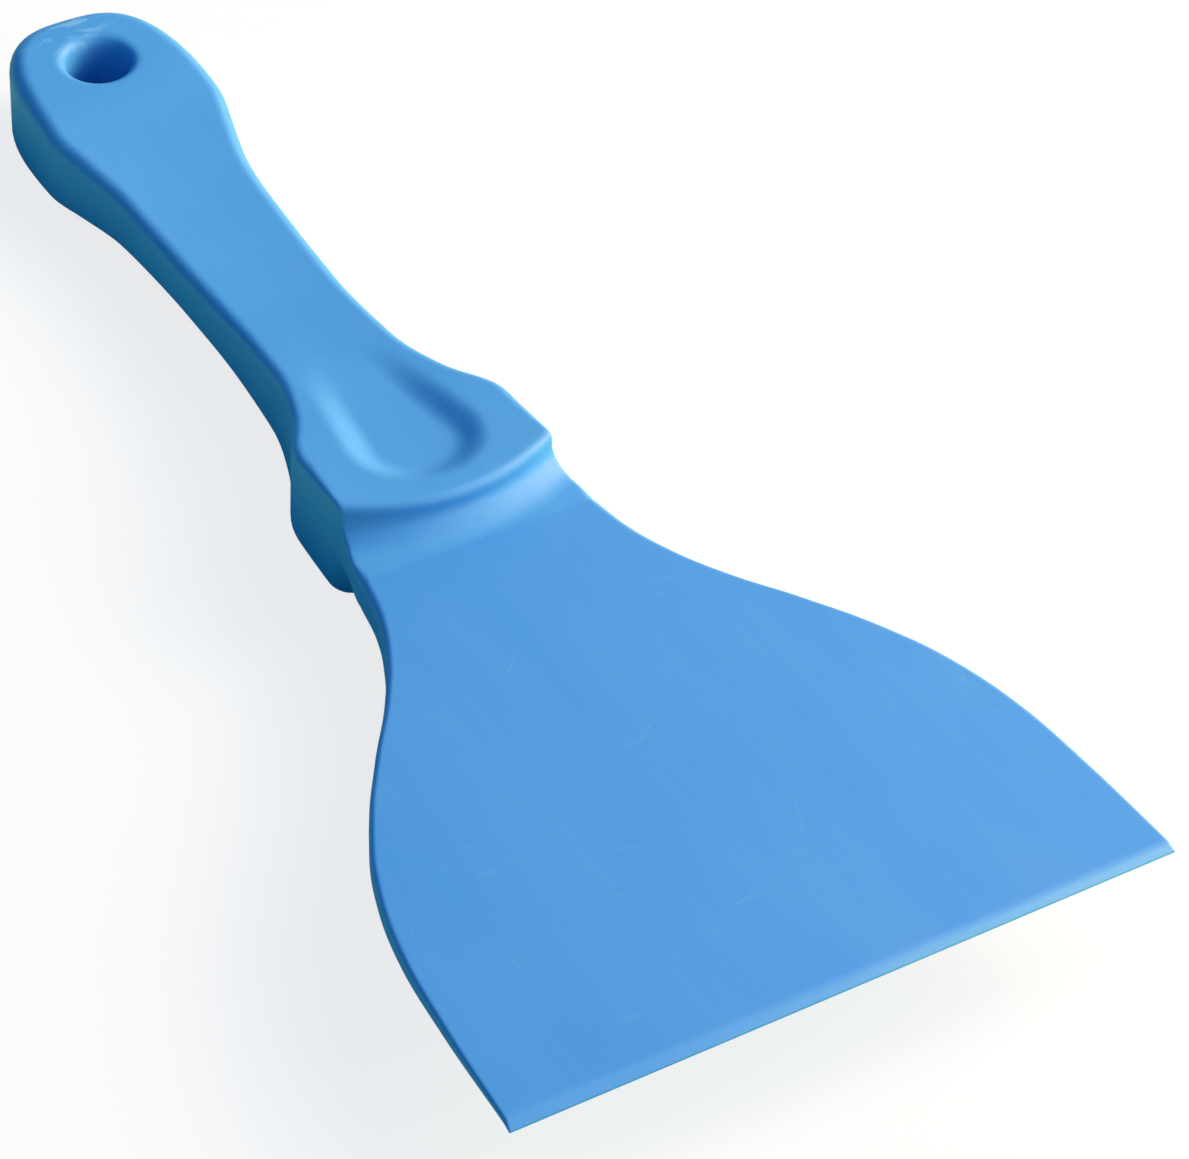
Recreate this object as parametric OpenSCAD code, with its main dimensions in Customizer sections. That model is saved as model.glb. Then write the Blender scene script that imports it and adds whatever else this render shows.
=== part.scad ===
// Hand ice scraper: a thin wedge blade whose tang is locked inside a moulded handle.
// It lies as it rests on a table, shoulder and butt on z = 0. The cutting edge faces -Y,
// the butt faces +Y, and the origin is under the middle of the whole length.

/* [Blade] */
// Width of the straight cutting edge
edge_w = 110; // [90:1:130]
// From the cutting edge back to the handle's collar
blade_l = 105.5; // [95:0.5:125]
// Thickness just behind the bevel of the cutting edge
edge_t = 1.2; // [0.8:0.1:2]
// Length of the bevel on the cutting edge
bevel_l = 1.6; // [0.8:0.1:3]
// Thickness left at the very edge
tip_t = 0.4; // [0.3:0.05:0.7]
// Rounding of the blade's side edges near the cutting edge
blade_r = 0.3; // [0.1:0.05:0.35]
// Angle at which the blade climbs from the collar to its edge
rise = 2.1; // [0:0.1:3]

/* [Neck] */
// Width of the neck where the blade meets the collar
neck_w = 41.4; // [38:0.2:44]
// Thickness of the neck
neck_t = 6.6; // [6:0.1:7.5]
// Height of the blade's flat upper face at the neck
neck_z = 14.8; // [14:0.1:15.6]
// Rounding of the neck's side edges
neck_r = 1.5; // [0.8:0.1:2.4]

/* [Shoulder] */
// From the front of the collar back to the middle of the shoulder's front face
collar_l = 5.5; // [4.5:0.5:7]
// Width across the shoulder
shoulder_w = 37.6; // [34:0.2:40]
// Thickness of the shoulder at its front face
shoulder_t = 20.8; // [20:0.2:23]
// How far the middle of the front face bows forward of its corners
face_bow = 5; // [3:0.5:6]
// Rounding of the upper rim of the front face
rim_r = 1.5; // [0.8:0.1:2]
// Radius of the cove between the front face and the blade
cove_r = 4.4; // [3:0.1:4.8]

/* [Grip] */
// From the front of the collar to the end of the butt
handle_l = 148.5; // [140:0.5:160]
// Width at the narrowest place
waist_w = 21.6; // [20:0.2:26]
// Thickness at the thinnest place
waist_t = 10; // [9:0.1:12]
// Height of the arch under the grip
arch = 3.6; // [3:0.1:4.6]
// Rounding of the long edges
edge_r = 2.5; // [1.5:0.1:3.5]

/* [Butt] */
// Width across the butt
butt_w = 32.8; // [30:0.2:38]
// Thickness of the butt
butt_t = 16.8; // [15:0.2:20]
// Length of the rounded end
butt_cap = 28; // [22:0.5:34]

/* [Thumb recess] */
// From the shoulder's front face back to the recess
recess_gap = 4.5; // [3:0.5:7]
// Length of the recess
recess_l = 40; // [34:1:44]
// Width of the recess at its round front end
recess_w = 23; // [19:0.5:25]
// Width of the recess at its back end
recess_tail_w = 14; // [11:0.5:16]
// Depth of the recess at its front end
recess_d = 2.1; // [1.5:0.1:2.8]
// Depth of the recess at its back end
recess_tail_d = 0.35; // [0.2:0.05:0.8]
// How far the recess's walls lean outwards
recess_lean = 5; // [3:0.1:6]

/* [Hang hole] */
// Diameter of the hang hole
hole_d = 11; // [9:0.1:13]
// From the end of the butt to the middle of the hang hole
hole_from_end = 14.2; // [13:0.1:17]
// Size of the flare at both ends of the hang hole
flare = 1.6; // [0.5:0.1:2]

/* [Tang] */
// Thickness of the tang inside the grip
tang_t = 3.6; // [3:0.1:4.2]
// Width of the tang inside the grip
tang_w = 13; // [11:0.5:14]
// Height of the middle of the tang above the table
tang_z = 8.5; // [8:0.1:9]
// Width of the tang's root behind the neck
root_w = 28; // [24:0.5:30]
// Thickness of the tang's root behind the neck
root_t = 4.4; // [4:0.1:5]
// Length of the root, over which it narrows to the tang
root_l = 30; // [24:1:34]
// Solid plastic between the end of the tang and the hang hole
tang_gap = 7; // [5:0.5:10]
// Diameter of the windows that lock the tang
window_d = 6; // [4:0.5:7]
// Distance from one window to the next
window_pitch = 19; // [14:1:24]

/* [Hidden] */

blue = [0.37, 0.65, 0.89];
$fn = 96;

// Steps in a quarter round, along the sides, along the blade and along the collar
arc_steps = 5;
side_steps = 48;
blade_steps = 36;
collar_steps = 12;

// How deep a piece that joins another is set into it, and how far a cut runs past a face
sunk = 0.5;
past = 1;

// Places along the length
edge_y = -(blade_l + handle_l) / 2;
collar_y = edge_y + blade_l;
face_y = collar_y + collar_l;
butt_y = collar_y + handle_l;
cap_y = butt_y - butt_cap;
hole_y = butt_y - hole_from_end;

// Curves as [share of the way, share of the change] stations, front to back
flare_curve = [[0, 1], [0.2, 0.97], [0.33, 0.93], [0.45, 0.84], [0.56, 0.69], [0.67, 0.48],
    [0.77, 0.265], [0.85, 0.13], [0.93, 0.04], [1, 0]];
narrowing_curve = [[0, 1], [0.35, 1], [0.54, 0.4], [0.75, 0.05], [1, 0]];
widening_curve = [[0, 0], [0.24, 0.08], [0.47, 0.17], [0.67, 0.29], [0.84, 0.66], [1, 1]];
thinning_curve = [[0, 1], [0.14, 0.92], [0.27, 0.79], [0.4, 0.6], [0.53, 0.42], [0.66, 0.26],
    [0.82, 0.09], [1, 0]];
filling_curve = [[0, 0], [0.15, 0.02], [0.32, 0.18], [0.49, 0.47], [0.67, 0.81], [0.87, 0.97], [1, 1]];
arch_curve = [[0, 0], [0.05, 0], [0.21, 0.35], [0.35, 0.72], [0.52, 1], [0.68, 0.71], [0.84, 0.2],
    [0.93, 0], [1, 0]];

// Where the grip is narrowest and thinnest, as shares of the way back from the face
narrow_share = 0.49;
thin_share = 0.53;

// Roundness of the butt, 2 for an ellipse and more for a squarer end
butt_square = 2.9;

// How far back of the front face's corners the sides' stations start, and how far back of them
// the rim has turned into the long edges
side_start = 3;
rim_l = 12;

// A smooth curve through stations, level at its peaks and hollows, read at s
function pitch(p, i) = (p[i + 1][1] - p[i][1]) / (p[i + 1][0] - p[i][0]);
function tangent(p, i) = i == 0 || i == len(p) - 1 ? 0
    : pitch(p, i - 1) * pitch(p, i) <= 0 ? 0
    : 2 * pitch(p, i - 1) * pitch(p, i) / (pitch(p, i - 1) + pitch(p, i));
function bend(p, i, u) = p[i][1] * (1 + 2 * u) * pow(1 - u, 2) + p[i + 1][1] * (3 - 2 * u) * u * u
    + (p[i + 1][0] - p[i][0]) * (tangent(p, i) * u * pow(1 - u, 2) - tangent(p, i + 1) * u * u * (1 - u));
function read(p, s, i = 0) = i < len(p) - 2 && s > p[i + 1][0] ? read(p, s, i + 1)
    : bend(p, i, max(0, min(1, (s - p[i][0]) / (p[i + 1][0] - p[i][0]))));
function ease(s) = let (u = max(0, min(1, s))) u * u * (3 - 2 * u);

// Blade: half width, upper face, thickness and side rounding at y
function blade_x(y) = neck_w / 2 + (edge_w - neck_w) / 2 * read(flare_curve, (y - edge_y) / blade_l);
function blade_high(y) = neck_z + (collar_y - y) * tan(rise);
function blade_thick(y) = edge_t + (neck_t - edge_t) * (y - edge_y - bevel_l) / (blade_l - bevel_l);
function blade_round(y) = blade_r + (neck_r - blade_r) * (y - edge_y) / blade_l;

// Grip: half width, underside, thickness, upper face and rounding of its upper and lower edges at y
function grip_x(y) = let (s = (y - face_y) / (cap_y - face_y)) waist_w / 2
    + (s < narrow_share ? (shoulder_w - waist_w) / 2 * read(narrowing_curve, s / narrow_share)
        : (butt_w - waist_w) / 2 * read(widening_curve, (s - narrow_share) / (1 - narrow_share)));
function grip_low(y) = arch * read(arch_curve, (y - face_y) / (butt_y - face_y));
function grip_thick(y) = let (s = (y - face_y) / (butt_y - face_y)) waist_t
    + (s < thin_share ? (shoulder_t - waist_t) * read(thinning_curve, s / thin_share)
        : (butt_t - waist_t) * read(filling_curve, (s - thin_share) / (1 - thin_share)));
function grip_high(y) = grip_low(y) + grip_thick(y);
function grip_round(y, up) = up ? rim_r + (edge_r - rim_r) * ease((y - face_y - face_bow) / rim_l) : edge_r;

// Right half of the grip seen from above, from the middle of the front face to the end of the butt
face_shares = [0.06, 0.2, 0.35, 0.5, 0.65, 0.8, 1];
butt_turns = [10, 20, 30, 39, 47, 54, 60, 66, 71, 76, 80, 84, 87, 89];
corner_y = face_y + face_bow;
side_y = corner_y + side_start;
function face_point(s) = [grip_x(corner_y) * s, face_y + face_bow * s * s];
function butt_point(t) = [grip_x(cap_y) * pow(cos(t), 2 / butt_square),
    cap_y + butt_cap * pow(sin(t), 2 / butt_square)];
grip_outline = concat([for (s = face_shares) face_point(s)],
    [for (i = [0:side_steps]) let (y = side_y + (cap_y - side_y) * i / side_steps) [grip_x(y), y]],
    [for (t = butt_turns) butt_point(t)]);

// Outward step at point i of a right half outline that moves both its edges out by 1
function off(d) = [d[1], -d[0]] / norm(d);
function outward(p, i) = let (a = off(i == 0 ? [2 * p[0][0], 0] : p[i] - p[i - 1]),
    b = off(i == len(p) - 1 ? [-2 * p[i][0], 0] : p[i + 1] - p[i])) (a + b) / (1 + a * b);
function grown(p, i, by) = p[i] + outward(p, i) * by;

// A closed layer from its right half
function mirrored(half) = concat(half,
    [for (i = [len(half) - 1:-1:0]) [-half[i][0], half[i][1], half[i][2]]]);

// A solid skinned over mirrored layers, each going round anticlockwise seen from the next one's side
module skin(layers) {
    n = len(layers[0]);
    top = (len(layers) - 1) * n;
    polyhedron(points = [for (layer = layers) for (p = layer) p],
        faces = concat(
            [for (k = [0:len(layers) - 2]) for (i = [0:n - 1]) let (j = (i + 1) % n)
                [k * n + i, (k + 1) * n + j, k * n + j]],
            [for (k = [0:len(layers) - 2]) for (i = [0:n - 1]) let (j = (i + 1) % n)
                [k * n + i, (k + 1) * n + i, (k + 1) * n + j]],
            [for (i = [0:n / 2 - 2]) [i, i + 1, n - 2 - i, n - 1 - i]],
            [for (i = [0:n / 2 - 2]) [top + n - 1 - i, top + n - 2 - i, top + i + 1, top + i]]),
        convexity = 6);
}

// The handle's outer body, built up in layers from the underside to the upper face
module grip_body() {
    p = grip_outline;
    function layer(t, up) = mirrored([for (i = [0:len(p) - 1])
        let (r = grip_round(p[i][1], up), q = grown(p, i, -r * (1 - sin(t))))
            [q[0], q[1], up ? grip_high(q[1]) - r * (1 - cos(t)) : grip_low(q[1]) + r * (1 - cos(t))]]);
    skin(concat([for (k = [0:arc_steps]) layer(90 * k / arc_steps, false)],
        [for (k = [arc_steps:-1:0]) layer(90 * k / arc_steps, true)]));
}

// A rounded cross-section across x at y
section_turns = [0, 22.5, 45, 67.5, 90];
function section(x, y, low, high, r) = mirrored(concat(
    [for (t = section_turns) [x - r * (1 - sin(t)), y, high - r * (1 - cos(t))]],
    [for (t = section_turns) [x - r * (1 - cos(t)), y, low + r * (1 - sin(t))]]));

// The collar: the neck carried on back into the shoulder
module collar() {
    back_y = corner_y + face_bow;
    skin([for (i = [0:collar_steps]) let (s = i / collar_steps, y = collar_y + (back_y - collar_y) * s)
        section(neck_w / 2 + (shoulder_w / 2 - sunk - neck_w / 2) * ease(s), y,
            blade_high(y) - neck_t, blade_high(y), neck_r)]);
}

// The cove that runs from the blade's plane up the shoulder's front face, from side to side
module cove() {
    p = [for (q = grip_outline) if (q[1] < corner_y + face_bow) q];
    function layer(out, up) = mirrored([for (i = [0:len(p) - 1])
        let (q = grown(p, i, -sunk) - [0, i < len(face_shares) ? out : 0])
            [q[0], q[1], blade_high(q[1]) + up]]);
    skin(concat([layer(cove_r, -neck_t / 2)],
        [for (k = [0:arc_steps]) let (t = 90 * k / arc_steps)
            layer(cove_r * (1 - sin(t)), cove_r * (1 - cos(t)))]));
}

// The thumb recess, deep and round in front and running out behind
module recess() {
    front_y = face_y + recess_gap + recess_w / 2;
    tail_y = face_y + recess_gap + recess_l - recess_tail_w / 2;
    lean = recess_lean / recess_d;
    module bowl(y, r, d) translate([0, y, grip_high(y) - d])
        cylinder(r1 = r - d * lean, r2 = r + shoulder_t * lean, h = d + shoulder_t, $fn = 32);
    hull() {
        bowl(front_y, recess_w / 2, recess_d);
        bowl(tail_y, recess_tail_w / 2, recess_tail_d);
    }
}

// The hang hole with its flared mouths
module hang_hole() {
    translate([0, hole_y, -past]) cylinder(d = hole_d, h = butt_t + arch + 2 * past);
    translate([0, hole_y, grip_high(hole_y) - flare])
        cylinder(r1 = hole_d / 2, r2 = hole_d / 2 + 2 * flare, h = 2 * flare);
    translate([0, hole_y, grip_low(hole_y) - flare])
        cylinder(r1 = hole_d / 2 + 2 * flare, r2 = hole_d / 2, h = 2 * flare);
}

// The tang, with windows that the handle's plastic fills
tang_end = hole_y - hole_d / 2 - tang_gap;
module tang() {
    root_z = neck_z - neck_t / 2;
    start_y = collar_y - sunk;
    narrow_y = collar_y + root_l;
    difference() {
        intersection() {
            linear_extrude(shoulder_t) {
                polygon([[-root_w / 2, start_y], [root_w / 2, start_y],
                    [root_w / 2, collar_y + root_l / 2], [tang_w / 2, narrow_y],
                    [tang_w / 2, tang_end - tang_w / 2], [-tang_w / 2, tang_end - tang_w / 2],
                    [-tang_w / 2, narrow_y], [-root_w / 2, collar_y + root_l / 2]]);
                translate([0, tang_end - tang_w / 2]) circle(d = tang_w);
            }
            rotate([90, 0, 90]) translate([0, 0, -root_w]) linear_extrude(2 * root_w)
                polygon([[start_y, root_z - root_t / 2], [narrow_y, tang_z - tang_t / 2],
                    [tang_end, tang_z - tang_t / 2], [tang_end, tang_z + tang_t / 2],
                    [narrow_y, tang_z + tang_t / 2], [start_y, root_z + root_t / 2]]);
        }
        for (y = [tang_end - tang_w / 2:-window_pitch:collar_y + root_l / 2])
            translate([0, y, 0]) cylinder(d = window_d, h = shoulder_t);
    }
}

module blade() color(blue) {
    skin(concat([section(edge_w / 2, edge_y, blade_high(edge_y) - edge_t, blade_high(edge_y) - edge_t + tip_t,
            tip_t / 3)],
        [for (i = [0:blade_steps]) let (y = edge_y + bevel_l + (blade_l - bevel_l) * i / blade_steps)
            section(blade_x(y), y, blade_high(y) - blade_thick(y), blade_high(y), blade_round(y))]));
    tang();
}

module handle() color(blue) difference() {
    union() {
        grip_body();
        collar();
        cove();
    }
    recess();
    hang_hole();
    tang();
}

blade();
handle();
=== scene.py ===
from math import radians

import bmesh
import bpy
import numpy as np
import openvdb
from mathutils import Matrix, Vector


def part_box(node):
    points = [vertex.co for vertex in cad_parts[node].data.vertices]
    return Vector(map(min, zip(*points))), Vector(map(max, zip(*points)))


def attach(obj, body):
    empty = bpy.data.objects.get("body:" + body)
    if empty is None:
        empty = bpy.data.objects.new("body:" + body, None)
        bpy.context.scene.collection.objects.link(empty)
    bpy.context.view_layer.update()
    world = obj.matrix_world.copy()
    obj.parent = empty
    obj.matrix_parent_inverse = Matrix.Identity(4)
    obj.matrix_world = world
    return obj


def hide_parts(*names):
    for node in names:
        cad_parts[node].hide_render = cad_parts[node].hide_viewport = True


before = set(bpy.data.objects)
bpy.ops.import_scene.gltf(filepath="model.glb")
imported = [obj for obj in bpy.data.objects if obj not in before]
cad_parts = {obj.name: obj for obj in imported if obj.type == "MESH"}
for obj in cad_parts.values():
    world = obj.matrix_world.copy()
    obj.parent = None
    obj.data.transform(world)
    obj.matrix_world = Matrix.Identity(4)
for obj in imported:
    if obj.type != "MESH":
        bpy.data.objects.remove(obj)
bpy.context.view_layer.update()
scene = bpy.context.scene

# --- Camera -----------------------------------------------------------------------------------
# A long lens, half a metre above the table and in front of the left corner of the blade. It is
# rolled a little, so that the scraper runs from the upper left down to the lower right.
camera = bpy.data.objects.new("camera", bpy.data.cameras.new("camera"))
camera.data.sensor_width = 36
camera.data.lens = 132
camera.location = (-0.2535, -0.4403, 0.4722)
camera.rotation_euler = (radians(46.43), radians(-2.99), radians(-30.45))
scene.collection.objects.link(camera)
scene.camera = camera

# --- Handle -----------------------------------------------------------------------------------
# One thick moulding in polypropylene, shot round the blade's tang: collar, cove, shoulder with its
# thumb recess, waisted grip, butt and hang hole. Thick plastic sinks a little as it cools, so the
# broad faces are faintly hollow. Sizes are in millimetres, from the cutting edge (-y) to the butt.
MM = 0.001
collar_y, butt_y = (corner.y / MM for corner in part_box("handle"))
face_y, face_bow = collar_y + 5.5, 5
cap_length, butt_square = 28, 2.9
cap_y = butt_y - cap_length
shoulder_width, waist_width, butt_width = 37.6, 21.6, 32.8
shoulder_thick, waist_thick, butt_thick = 20.8, 10, 16.6
arch_rise = 3.6
foot_length, foot_fade = 12, 10
sink, sink_fade = 0.3, 20
rim_round, foot_round, foot_lean = 1.6, 2.1, 0.2
neck_width, neck_thick, neck_round = 41.4, 6.6, 1.4
neck_top, blade_rise = 14.8, radians(2.1)
neck_blend, neck_lead, neck_fade = 13, 1, 6
collar_root, side_round = 1.5, 0.8
cove_lean, cove_reach, cove_round, cove_root = radians(35), 2.15, 1, 1
edge_blend = 4
hole_y, hole_radius, hole_lip = butt_y - 14.2, 5.5, 2

# The grip's width, thickness and arch, as (share of the way back, share of the change)
narrowing = [(0, 1), (0.35, 1), (0.54, 0.4), (0.75, 0.05), (1, 0)]
widening = [(0, 0), (0.24, 0.08), (0.47, 0.17), (0.67, 0.29), (0.84, 0.66), (1, 1)]
thinning = [(0, 1), (0.14, 0.92), (0.27, 0.79), (0.4, 0.6), (0.53, 0.42), (0.66, 0.26),
            (0.82, 0.09), (1, 0)]
filling = [(0, 0), (0.15, 0.02), (0.32, 0.18), (0.49, 0.47), (0.67, 0.81), (0.87, 0.97), (1, 1)]
arching = [(0, 0), (0.05, 0), (0.21, 0.35), (0.35, 0.72), (0.52, 1), (0.68, 0.71), (0.84, 0.2),
           (0.93, 0), (1, 0)]
narrow_share, thin_share = 0.49, 0.53

# The radius of the grip's long edges, above and below, as (place along y, radius)
upper_rounds = [(-10, 0.4), (0, 1.5), (46, 2.3), (96, 2.5), (124, 3.4)]
lower_rounds = [(1, 2.8), (46, 2.8), (96, 1.8)]

# Keeps a division or a root away from zero
tiny = 1e-12


def read(stations, share):
    """A smooth curve through the stations, level at its peaks and hollows."""
    at, value = np.array(stations, float).T
    pitch = np.diff(value) / np.diff(at)
    before, after = pitch[:-1], pitch[1:]
    same_way = before * after > 0
    slope = np.zeros(len(at))
    slope[1:-1][same_way] = (2 * before * after / (before + after + tiny))[same_way]
    share = np.clip(share, 0, 1)
    i = np.clip(np.searchsorted(at, share) - 1, 0, len(pitch) - 1)
    span = at[i + 1] - at[i]
    u = (share - at[i]) / span
    return (value[i] * (1 + 2 * u) * (1 - u) ** 2 + value[i + 1] * (3 - 2 * u) * u ** 2
            + span * (slope[i] * u * (1 - u) ** 2 - slope[i + 1] * u ** 2 * (1 - u)))


def ease(share):
    """A smooth step from 0 to 1."""
    share = np.clip(share, 0, 1)
    return share ** 3 * (share * (share * 6 - 15) + 10)


# The handle's lines run a little past both of its ends, so that fairing doesn't bend them there
line_step, fairing, fairing_reach = 0.25, 1.5, 40
along = np.arange(collar_y - 20, butt_y + 10, line_step)
spread = np.exp(-0.5 * (np.arange(-fairing_reach, fairing_reach + 1) * line_step / fairing) ** 2)


def faired(values):
    """The same curve with its joints drawn smooth, as a mould maker fairs it."""
    padded = np.pad(values, fairing_reach, mode="edge")
    return np.convolve(padded, spread / spread.sum(), mode="valid")


back_share = (along - face_y) / (butt_y - face_y)
side_share = (along - face_y) / (cap_y - face_y)
half_width_line = faired(waist_width / 2 + np.where(
    side_share < narrow_share,
    (shoulder_width - waist_width) / 2 * read(narrowing, side_share / narrow_share),
    (butt_width - waist_width) / 2
    * read(widening, (side_share - narrow_share) / (1 - narrow_share)))
    + (neck_width - shoulder_width) / 2 * (1 - ease((along - collar_y + neck_lead) / neck_blend)))
underside_line = faired(arch_rise * read(arching, back_share))
thick_line = faired(waist_thick + np.where(
    back_share < thin_share,
    (shoulder_thick - waist_thick) * read(thinning, back_share / thin_share),
    (butt_thick - waist_thick) * read(filling, (back_share - thin_share) / (1 - thin_share))))
upper_round_line = faired(np.interp(along, *np.transpose(upper_rounds)))
lower_round_line = faired(np.interp(along, *np.transpose(lower_rounds)))


def half_width(y):
    return np.interp(y, along, half_width_line)


def underside(y):
    return np.interp(y, along, underside_line)


def upper_face(y):
    return np.interp(y, along, underside_line + thick_line)


def rounded(a, b, radius):
    """What lies inside both a and b, with the edge between them rounded."""
    return (np.minimum(-radius, np.maximum(a, b))
            + np.hypot(np.maximum(radius + a, 0), np.maximum(radius + b, 0)))


def filleted(a, b, radius):
    """What lies inside a or b, with the corner between them filled to a radius."""
    return -rounded(-a, -b, radius)


def side_distance(x, y):
    """How far a point lies beside the grip or behind the butt, as seen from above."""
    def beyond(x, y):
        across = np.abs(x) / half_width(np.minimum(y, cap_y))
        behind = np.maximum(0, (y - cap_y) / cap_length)
        return (across ** butt_square + behind ** butt_square + tiny) ** (1 / butt_square) - 1

    step, least_steepness = 0.05, 0.015
    here = beyond(x, y)
    steepness = np.hypot(beyond(np.abs(x) + step, y) - here,
                         (beyond(x, y + step) - beyond(x, y - step)) / 2) / step
    return here / np.maximum(steepness, least_steepness)


# The thumb recess is a teardrop: a round deep end behind the shoulder, and a tail that fades out
recess_front, recess_wide = 0, 12.4
recess_back, recess_narrow = 23.4, 9.1
recess_deep, recess_wall, recess_tail = 1.8, 6.8, 8


def recess_depth(x, y):
    """How deep the thumb recess is below the top face."""
    length = recess_back - recess_front
    turn = (recess_wide - recess_narrow) / length
    lean = np.sqrt(1 - turn ** 2)
    px, py = np.abs(x), y - recess_front
    place = lean * py - turn * px
    rim = np.where(place < 0, np.hypot(px, py) - recess_wide,
                   np.where(place > lean * length, np.hypot(px, py - length) - recess_narrow,
                            lean * px + turn * py - recess_wide))
    fade = 1 - ease((y - recess_front) / (length + recess_tail))
    return recess_deep * fade * ease(-rim / recess_wall)


def handle_distance(x, y, z):
    """Millimetres from a point to the handle's surface, below zero inside it."""
    hollow = (sink * (1 - np.minimum(1, (x / half_width(y)) ** 2))
              * ease((cap_y + sink_fade / 2 - y) / sink_fade))
    top = upper_face(y) - hollow - recess_depth(x, y)
    bottom = underside(y) + hollow * ease((y - face_y - foot_length) / foot_fade)
    step = 0.1
    top_slope = (upper_face(y + step) - upper_face(y - step)) / (2 * step)
    dip_slope = np.hypot(recess_depth(np.abs(x) + step, y) - recess_depth(np.abs(x) - step, y),
                         recess_depth(x, y + step) - recess_depth(x, y - step)) / (2 * step)
    bottom_slope = (underside(y + step) - underside(y - step)) / (2 * step)
    above = (z - top) / np.sqrt(1 + top_slope ** 2 + dip_slope ** 2)
    below = (bottom - z) / np.hypot(1, bottom_slope)

    # The shoulder's front face bows forward between crisp corners, and leans back under the neck
    bow = face_bow / (shoulder_width / 2) ** 2
    front = (face_y + bow * x ** 2 - y) / np.hypot(1, 2 * bow * x)
    front_low = front + foot_lean * np.maximum(0, neck_top - neck_thick - z)
    grip = np.maximum(rounded(front, above, rim_round), rounded(front_low, below, foot_round))

    # The collar carries the neck's section back into the shoulder, and a sloped cove fills the
    # corner over it. Both run on a little inside the shoulder.
    over = (z - neck_top - (collar_y - y) * np.tan(blade_rise)) * np.cos(blade_rise)
    collar = np.maximum(np.maximum(over, -over - neck_thick), -front - collar_root)
    cove = np.maximum(front * np.sin(cove_lean) + over * np.cos(cove_lean) - cove_reach,
                      -cove_root - np.minimum(front, over))
    body = filleted(filleted(grip, collar, side_round), cove, cove_round)

    # The long edges are rounded, from the neck's rounding at the collar to the grip's own
    back = ease((y - collar_y) / neck_fade)
    upper_round = neck_round + (np.interp(y, along, upper_round_line) - neck_round) * back
    lower_round = neck_round + (np.interp(y, along, lower_round_line) - neck_round) * back
    up = ease((z - (bottom + top) / 2) / edge_blend + 0.5)
    whole = rounded(body, side_distance(x, y), lower_round + (upper_round - lower_round) * up)
    hole = np.hypot(x, y - hole_y) - hole_radius
    return rounded(whole, -hole, hole_lip)


def mesh_of(distance, low, high, pitch):
    """A closed mesh of the surface where distance is zero, each point settled onto it."""
    axes = [np.arange(a, b, pitch) for a, b in zip(low, high)]
    field = distance(*np.meshgrid(*axes, indexing="ij", sparse=True))
    grid = openvdb.FloatGrid(background=10.0)
    grid.copyFromArray(field.astype(np.float32))
    points, quads = grid.convertToQuads(isovalue=0.0)
    points = points.astype(float) * pitch + np.array(low)
    step, least_slope, rounds = 0.05, 0.1, 3
    for _ in range(rounds):
        miss = distance(*points.T)
        slope = np.array([distance(*(points + shift).T) - distance(*(points - shift).T)
                          for shift in np.eye(3) * step]).T / (2 * step)
        points -= slope * (miss / np.maximum((slope ** 2).sum(1), least_slope))[:, None]
    mesh = bpy.data.meshes.new("skin")
    mesh.from_pydata(points * MM, [], quads[:, ::-1])
    return mesh


# The skin is drawn past the collar's end, cut off where the handle meets the blade, and closed
skin_low, skin_high, skin_pitch = (-22.3, collar_y - 2, -1), (22.3, butt_y + 1.5, 25.5), 0.5
handle_mesh = mesh_of(handle_distance, skin_low, skin_high, skin_pitch)
trim = bmesh.new()
trim.from_mesh(handle_mesh)
bmesh.ops.bisect_plane(trim, geom=trim.verts[:] + trim.edges[:] + trim.faces[:], dist=1e-6,
                       plane_co=(0, collar_y * MM, 0), plane_no=(0, -1, 0), clear_outer=True)
seam = [edge for edge in trim.edges if edge.is_boundary]
bmesh.ops.contextual_create(trim, geom=seam)
for edge in seam:
    edge.smooth = False
bmesh.ops.recalc_face_normals(trim, faces=trim.faces[:])
trim.to_mesh(handle_mesh)
trim.free()
handle_mesh.shade_smooth()


def fill(tree, slot, source):
    """Gives a node's input a term, another node's output or a plain value."""
    if isinstance(source, Term):
        source = source.socket
    if isinstance(source, bpy.types.NodeSocket):
        tree.links.new(source, slot)
    else:
        slot.default_value = source


def add_node(tree, kind, **sources):
    """A new node in the tree, with the inputs named here filled."""
    node = tree.nodes.new(kind)
    for name, source in sources.items():
        fill(tree, node.inputs[name.replace("_", " ")], source)
    return node


class Term:
    """A number in a node tree, so that a tree is written as an ordinary formula."""

    def __init__(self, tree, socket):
        self.tree, self.socket = tree, socket

    def math(self, operation, *others):
        node = self.tree.nodes.new("ShaderNodeMath")
        node.operation = operation
        for slot, value in zip(node.inputs, (self, *others)):
            fill(self.tree, slot, value)
        return Term(self.tree, node.outputs[0])

    def __add__(self, other):
        return self.math("ADD", other)

    def __sub__(self, other):
        return self.math("SUBTRACT", other)

    def __rsub__(self, other):
        return self.math("MULTIPLY_ADD", -1, other)

    def __mul__(self, other):
        return self.math("MULTIPLY", other)

    def __truediv__(self, other):
        return self.math("DIVIDE", other)

    def ramp(self, low, high, to_low=0, to_high=1):
        """A smooth change from to_low to to_high while the term goes from low to high."""
        node = add_node(self.tree, "ShaderNodeMapRange", Value=self, From_Min=low, From_Max=high,
                        To_Min=to_low, To_Max=to_high)
        node.interpolation_type = "SMOOTHSTEP"
        return Term(self.tree, node.outputs["Result"])

    def colour(self, low, high):
        """A colour that goes from low to high while the term goes from 0 to 1."""
        node = self.tree.nodes.new("ShaderNodeMix")
        node.data_type = "RGBA"
        for name, value in (("Factor", self), ("A", (*low, 1)), ("B", (*high, 1))):
            fill(self.tree, node.inputs[name], value)
        return node.outputs["Result"]


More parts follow.
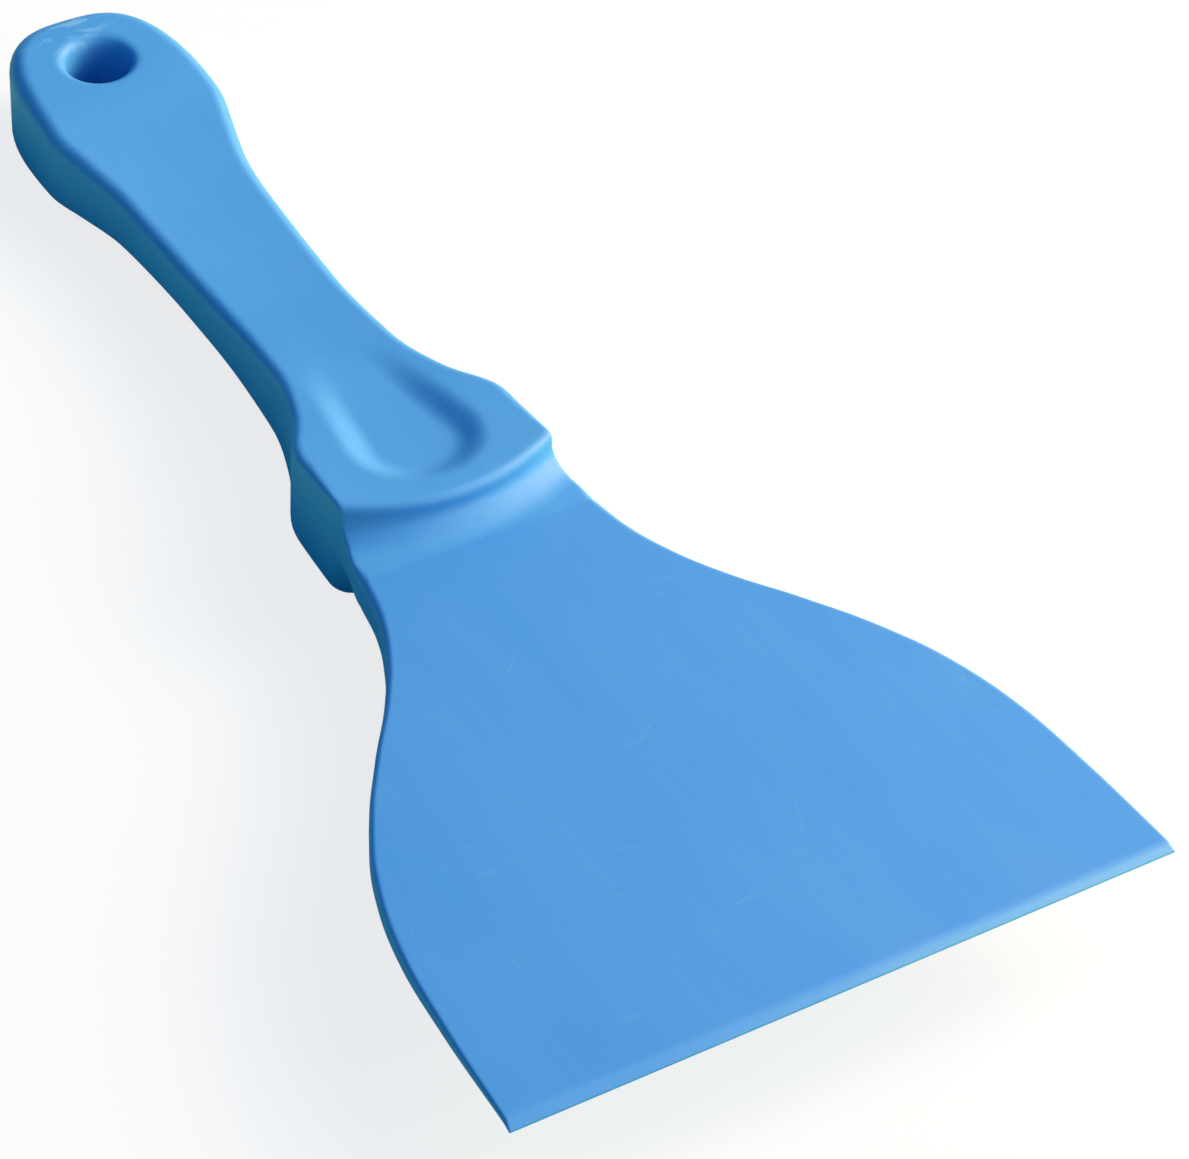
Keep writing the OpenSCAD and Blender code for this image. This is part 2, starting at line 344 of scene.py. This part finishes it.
def moulded_plastic(name, fresh_colour):
    """Satin polypropylene with fine mould grain, faint flow streaks, small pits, hair scratches,
    pale scuffs on the butt and a painted sheen along the cutting edge."""
    material = bpy.data.materials.new(name)
    material.use_nodes = True
    tree = material.node_tree
    shader = tree.nodes["Principled BSDF"]
    shader.inputs["IOR"].default_value = 1.49
    place = tree.nodes.new("ShaderNodeTexCoord").outputs["Object"]

    def stretched(scale, turn):
        node = add_node(tree, "ShaderNodeMapping", Vector=place, Scale=scale,
                        Rotation=(0, 0, radians(turn)))
        return node.outputs["Vector"]

    def noise(scale, turn=0, detail=2):
        node = add_node(tree, "ShaderNodeTexNoise", Vector=stretched(scale, turn), Scale=1,
                        Detail=detail)
        return Term(tree, node.outputs["Fac"])

    def hairlines(scale, turn, thin):
        node = add_node(tree, "ShaderNodeTexVoronoi", Vector=stretched(scale, turn), Scale=1)
        node.feature = "DISTANCE_TO_EDGE"
        return Term(tree, node.outputs["Distance"]).ramp(0, thin, 1, 0)

    # Scales are marks in a metre. Clouds and flow streaks are drawn out along the scraper.
    clouds = noise((60, 22, 60)).ramp(0.3, 0.7)
    streaks = noise((420, 26, 420), detail=4).ramp(0.35, 0.7)
    grain = noise((2600, 2600, 2600), detail=3)
    specks = noise((900, 900, 900), detail=1).ramp(0.7, 0.78)
    scratches = (hairlines((28, 260, 60), 24, 0.012) * noise((90, 90, 90)).ramp(0.56, 0.7)
                 + hairlines((240, 22, 60), 12, 0.010) * noise((70, 70, 70), 40).ramp(0.6, 0.74))

    # The butt is scuffed high on its left end. A painted sheen lies on the cutting edge, more to
    # the right
    apart = add_node(tree, "ShaderNodeSeparateXYZ", Vector=place)
    sideways, lengthwise, upward = (Term(tree, output) for output in apart.outputs)
    scuff_start, scuff_full, scuff_right, scuff_low, scuff_high = 116.5, 121.5, 10, 12, 15
    sheen_start, sheen_full, sheen_left, sheen_right = -125.4, -126.3, -45, 55
    at_butt = (lengthwise.ramp(scuff_start * MM, scuff_full * MM)
               * sideways.ramp(scuff_right * MM, 0) * upward.ramp(scuff_low * MM, scuff_high * MM))
    # A painted sheen along the cutting edge, stronger towards the right
    edge_sheen = (lengthwise.ramp(sheen_start * MM, sheen_full * MM)
               * sideways.ramp(sheen_left * MM, sheen_right * MM))
    scuffs = at_butt * noise((260, 700, 260), 20, 4).ramp(0.5, 0.62)

    # The pale colour that real marks and the cutting edge's painted sheen lean towards
    wear_and_sheen_colour = (0.2, 0.5, 0.8)
    wear_and_sheen = clouds * 0.06 + streaks * 0.03 + scratches * 0.2 + scuffs * 0.7 + edge_sheen * 0.55
    fill(tree, shader.inputs["Base Color"], wear_and_sheen.colour(fresh_colour, wear_and_sheen_colour))

    roughness = clouds * 0.04 + grain * 0.10 + scuffs * 0.15 + 0.44
    fill(tree, shader.inputs["Roughness"], roughness)

    # The surface's height, in millimetres
    height = grain * 0.014 + streaks * 0.004 - specks * 0.012 - scratches * 0.01 + scuffs * 0.02
    bump = add_node(tree, "ShaderNodeBump", Height=height, Strength=1, Distance=MM)
    fill(tree, shader.inputs["Normal"], bump.outputs["Normal"])
    return material


handle_mesh.materials.append(moulded_plastic("handle_plastic", (0.062, 0.325, 0.745)))
handle = bpy.data.objects.new("handle_moulding", handle_mesh)
scene.collection.objects.link(handle)
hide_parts("handle")
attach(handle, "root")

# --- Blade ------------------------------------------------------------------------------------
# A stiff wedge of the same plastic, thick at the neck and thin at the straight bevelled edge. Its
# tang runs back inside the handle, whose plastic fills the tang's windows and locks it there.
blade_low, blade_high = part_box("blade")
edge_y, hole_wall = blade_low.y / MM, 7
blade_sizes = {
    "Edge width": 2 * blade_high.x / MM, "Neck width": neck_width, "Length": collar_y - edge_y,
    "Edge thickness": 1.2, "Neck thickness": neck_thick, "Bevel length": 1.6, "Tip thickness": 0.4,
    "Edge rounding": 0.5, "Neck rounding": neck_round, "Neck top": neck_top,
    "Root width": 28, "Root thickness": 4.4, "Root length": 30, "Root depth": 0.5,
    "Tang width": 13, "Tang thickness": 3.6, "Tang middle": 8.5,
    "Tang end": hole_y - hole_radius - hole_wall, "Tang tip length": 4, "Tang tip share": 0.55,
    "Window width": 6, "Window pitch": 19, "Punch length": 12}

# How the width grows, as (share of the way from the edge to the neck, share of the growth)
flare = [(0, 1), (0.2, 0.97), (0.33, 0.93), (0.45, 0.84), (0.56, 0.69), (0.67, 0.48),
         (0.77, 0.265), (0.85, 0.13), (0.93, 0.04), (1, 0)]

blade_tree = bpy.data.node_groups.new("wedge_blade", "GeometryNodeTree")
blade_tree.interface.new_socket("Geometry", in_out="OUTPUT", socket_type="NodeSocketGeometry")
for name, value in blade_sizes.items():
    socket = blade_tree.interface.new_socket(name, in_out="INPUT", socket_type="NodeSocketFloat")
    socket.default_value = value
blade_tree.interface.new_socket("Plastic", in_out="INPUT", socket_type="NodeSocketMaterial")
given = blade_tree.nodes.new("NodeGroupInput")
size = {name: Term(blade_tree, given.outputs[name]) for name in blade_sizes}


def blade_node(kind, **sources):
    return add_node(blade_tree, kind, **sources)


def unit_block(x, y, z):
    """A cube one unit wide with x, y and z points along its sides, and where its points are."""
    cube = blade_node("GeometryNodeMeshCube", Size=(1, 1, 1), Vertices_X=x, Vertices_Y=y,
                      Vertices_Z=z)
    position = blade_node("GeometryNodeInputPosition").outputs[0]
    spot = blade_node("ShaderNodeSeparateXYZ", Vector=position)
    return cube.outputs["Mesh"], [Term(blade_tree, output) for output in spot.outputs]


def moved(mesh, x, y, z):
    """The mesh with its points at x, y and z, given in millimetres."""
    place = blade_node("ShaderNodeCombineXYZ", X=x * MM, Y=y * MM, Z=z * MM)
    return blade_node("GeometryNodeSetPosition", Geometry=mesh, Position=place.outputs[0])


# A block of many faces, whose points are then drawn out to the blade's shape. The bevel gets a few
# rows of its own, and the points crowd towards the side edges, where the rounding needs them.
rows_in_bevel, round_limit = 0.03, 0.42
block, (block_x, block_y, block_z) = unit_block(97, 161, 7)
row = block_y + 0.5
from_edge = ((row / rows_in_bevel).math("MINIMUM", 1) * size["Bevel length"]
            + ((row - rows_in_bevel) / (1 - rows_in_bevel)).math("MAXIMUM", 0)
            * (size["Length"] - size["Bevel length"]))
neck_share = from_edge / size["Length"]
flare_curve = blade_tree.nodes.new("ShaderNodeFloatCurve")
points = flare_curve.mapping.curves[0].points
points[0].location, points[1].location = flare[0], flare[-1]
for station in flare[1:-1]:
    points.new(*station)
for point in points:
    point.handle_type = "AUTO_CLAMPED"
flare_curve.mapping.update()
fill(blade_tree, flare_curve.inputs["Value"], neck_share)
half = (size["Neck width"] + (size["Edge width"] - size["Neck width"])
        * Term(blade_tree, flare_curve.outputs[0])) * 0.5
from_side = 1 - block_x.math("ABSOLUTE") * 2
inward = from_side * from_side
across = (1 - inward) * half * block_x.math("SIGN")

body_share = (from_edge - size["Bevel length"]) / (size["Length"] - size["Bevel length"])
bevel_share = (from_edge / size["Bevel length"]).math("MINIMUM", 1)
thick = (size["Edge thickness"] + (size["Neck thickness"] - size["Edge thickness"])
         * body_share.math("MAXIMUM", 0))
bevel_drop = (size["Edge thickness"] - size["Tip thickness"]) * (1 - bevel_share)
edge_round = size["Edge rounding"] + (size["Neck rounding"] - size["Edge rounding"]) * neck_share
edge_round = edge_round.math("MINIMUM", (thick - bevel_drop) * round_limit)
into_round = (edge_round - inward * half).math("MAXIMUM", 0)
round_drop = edge_round - (edge_round * edge_round
                           - into_round * into_round).math("MAXIMUM", 0).math("SQRT")
top = (size["Length"] - from_edge) * float(np.tan(blade_rise)) + size["Neck top"]
lowest = top - thick + round_drop
highest = top - bevel_drop - round_drop
wedge = moved(block, across, from_edge + edge_y, lowest + (highest - lowest) * (block_z + 0.5))

# The tang: a flat bar that narrows behind the neck, with a row of round windows
tang_start, tang_end = collar_y - size["Root depth"], size["Tang end"]
half_root, root_end = size["Root length"] * 0.5 + collar_y, size["Root length"] + collar_y
neck_middle = size["Neck top"] - size["Neck thickness"] * 0.5
bar, (bar_x, bar_y, bar_z) = unit_block(2, 33, 2)
bar_place = (bar_y + 0.5) * (tang_end - tang_start) + tang_start
bar_tip = bar_place.ramp(tang_end - size["Tang tip length"], tang_end, 1, size["Tang tip share"])
bar_width = bar_place.ramp(half_root, root_end, size["Root width"], size["Tang width"]) * bar_tip
bar_thick = bar_place.ramp(tang_start, root_end, size["Root thickness"], size["Tang thickness"])
bar_middle = bar_place.ramp(tang_start, root_end, neck_middle, size["Tang middle"])
tang = moved(bar, bar_x * bar_width, bar_place, bar_z * bar_thick + bar_middle)

last_window = tang_end - size["Tang width"] * 0.5
window_count = ((last_window - half_root) / size["Window pitch"]).math("FLOOR") + 1
row_start = blade_node("ShaderNodeCombineXYZ", Y=last_window * MM, Z=size["Tang middle"] * MM)
row_pitch = blade_node("ShaderNodeCombineXYZ", Y=size["Window pitch"] * -MM)
window_row = blade_node("GeometryNodeMeshLine", Count=window_count,
                        Start_Location=row_start.outputs[0], Offset=row_pitch.outputs[0])
punch = blade_node("GeometryNodeMeshCylinder", Vertices=48,
                   Radius=size["Window width"] * (MM / 2), Depth=size["Punch length"] * MM)
punches = blade_node("GeometryNodeInstanceOnPoints", Points=window_row.outputs[0],
                     Instance=punch.outputs["Mesh"])
real_punches = blade_node("GeometryNodeRealizeInstances", Geometry=punches.outputs[0])
punched = blade_node("GeometryNodeMeshBoolean", Mesh_1=tang.outputs[0],
                     Mesh_2=real_punches.outputs[0])
joined = blade_node("GeometryNodeMeshBoolean", Mesh_2=wedge.outputs[0])
joined.operation = "UNION"
fill(blade_tree, joined.inputs["Mesh 2"], punched.outputs[0])
real = blade_node("GeometryNodeRealizeInstances", Geometry=joined.outputs[0])
dressed = blade_node("GeometryNodeSetMaterial", Geometry=real.outputs[0],
                     Material=given.outputs["Plastic"])
blade_node("NodeGroupOutput", Geometry=dressed.outputs[0])

# The tree is worked out once on an empty object, and the blade keeps the mesh it makes
blade_plastic = moulded_plastic("blade_plastic", (0.055, 0.295, 0.74))
draft = bpy.data.objects.new("blade_draft", bpy.data.meshes.new("blade_draft"))
scene.collection.objects.link(draft)
maker = draft.modifiers.new("wedge", "NODES")
maker.node_group = blade_tree
for socket in blade_tree.interface.items_tree:
    if socket.in_out == "INPUT":
        maker[socket.identifier] = blade_sizes.get(socket.name, blade_plastic)
made = draft.evaluated_get(bpy.context.evaluated_depsgraph_get())
blade_mesh = bpy.data.meshes.new_from_object(made)
bpy.data.objects.remove(draft)
blade_mesh.shade_smooth()
blade_mesh.set_sharp_from_angle(angle=radians(25))
blade = bpy.data.objects.new("wedge_blade", blade_mesh)
scene.collection.objects.link(blade)
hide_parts("blade")
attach(blade, "root")

# --- Table and light --------------------------------------------------------------------------
# A white table under a white backdrop, with a pale shadow. Six soft lamps stand round the right
# side from front to back, warmer when low and cooler when high. A weak blue sky and the table's
# greenish bounce fill the shaded side.
half_table = 9
corners = [(-1, -1), (1, -1), (1, 1), (-1, 1)]
table_mesh = bpy.data.meshes.new("table")
table_mesh.from_pydata([(x * half_table, y * half_table, 0) for x, y in corners], [],
                       [(0, 1, 2, 3)])
table = bpy.data.objects.new("table", table_mesh)
scene.collection.objects.link(table)

# The camera sees the paint white and glowing, which keeps the shadow pale. The scraper gets the
# light that a greenish paint would send back.
paint = bpy.data.materials.new("table_paint")
paint.use_nodes = True
paint_tree = paint.node_tree
paint_tree.nodes.remove(paint_tree.nodes["Principled BSDF"])
seen = Term(paint_tree, add_node(paint_tree, "ShaderNodeLightPath").outputs["Is Camera Ray"])
greenish, white = (0.45, 0.95, 0.58), (0.92, 0.92, 0.92)
matt = add_node(paint_tree, "ShaderNodeBsdfDiffuse", Color=seen.colour(greenish, white))
glow = add_node(paint_tree, "ShaderNodeEmission")
blend = add_node(paint_tree, "ShaderNodeMixShader", Fac=seen * 0.8)
fill(paint_tree, blend.inputs[1], matt.outputs[0])
fill(paint_tree, blend.inputs[2], glow.outputs[0])
fill(paint_tree, paint_tree.nodes["Material Output"].inputs["Surface"], blend.outputs[0])
table_mesh.materials.append(paint)

# Each lamp is aimed at the middle of the scraper, as (name, place, watts, colour)
lamps = [("key", (1.10, -0.63, 0.59), 12, (0.6, 0.87, 0.7)),
         ("front", (0.63, -1.10, 0.59), 8, (0.75, 0.5, 0.33)),
         ("low_side", (1.25, 0, 0.64), 20, (1, 0.41, 0.14)),
         ("middle_side", (1.10, 0, 0.86), 9, (0.9, 1, 0.4)),
         ("high_side", (0.80, 0, 1.15), 6.5, (0.4, 0.5, 1)),
         ("back", (1.0, 0.9, 0.41), 2.5, (1, 0.97, 0.93))]
for name, place, watts, colour in lamps:
    light = bpy.data.objects.new(name, bpy.data.lights.new(name, "AREA"))
    light.data.shape = "DISK"
    light.data.size = 0.7
    light.data.energy = watts
    light.data.color = colour
    light.location = place
    light.rotation_euler = light.location.to_track_quat("Z", "Y").to_euler()
    scene.collection.objects.link(light)

# The camera sees a white sky, and the scraper is lit by a weak blue one
sky = bpy.data.worlds.new("sky")
sky.use_nodes = True
sky_tree = sky.node_tree
air = sky_tree.nodes["Background"]
seen = Term(sky_tree, add_node(sky_tree, "ShaderNodeLightPath").outputs["Is Camera Ray"])
fill(sky_tree, air.inputs["Color"], seen.colour((0.05, 0.5, 1), (1, 1, 1)))
fill(sky_tree, air.inputs["Strength"], seen * 0.7 + 0.3)
scene.world = sky
scene.view_settings.view_transform = "Standard"
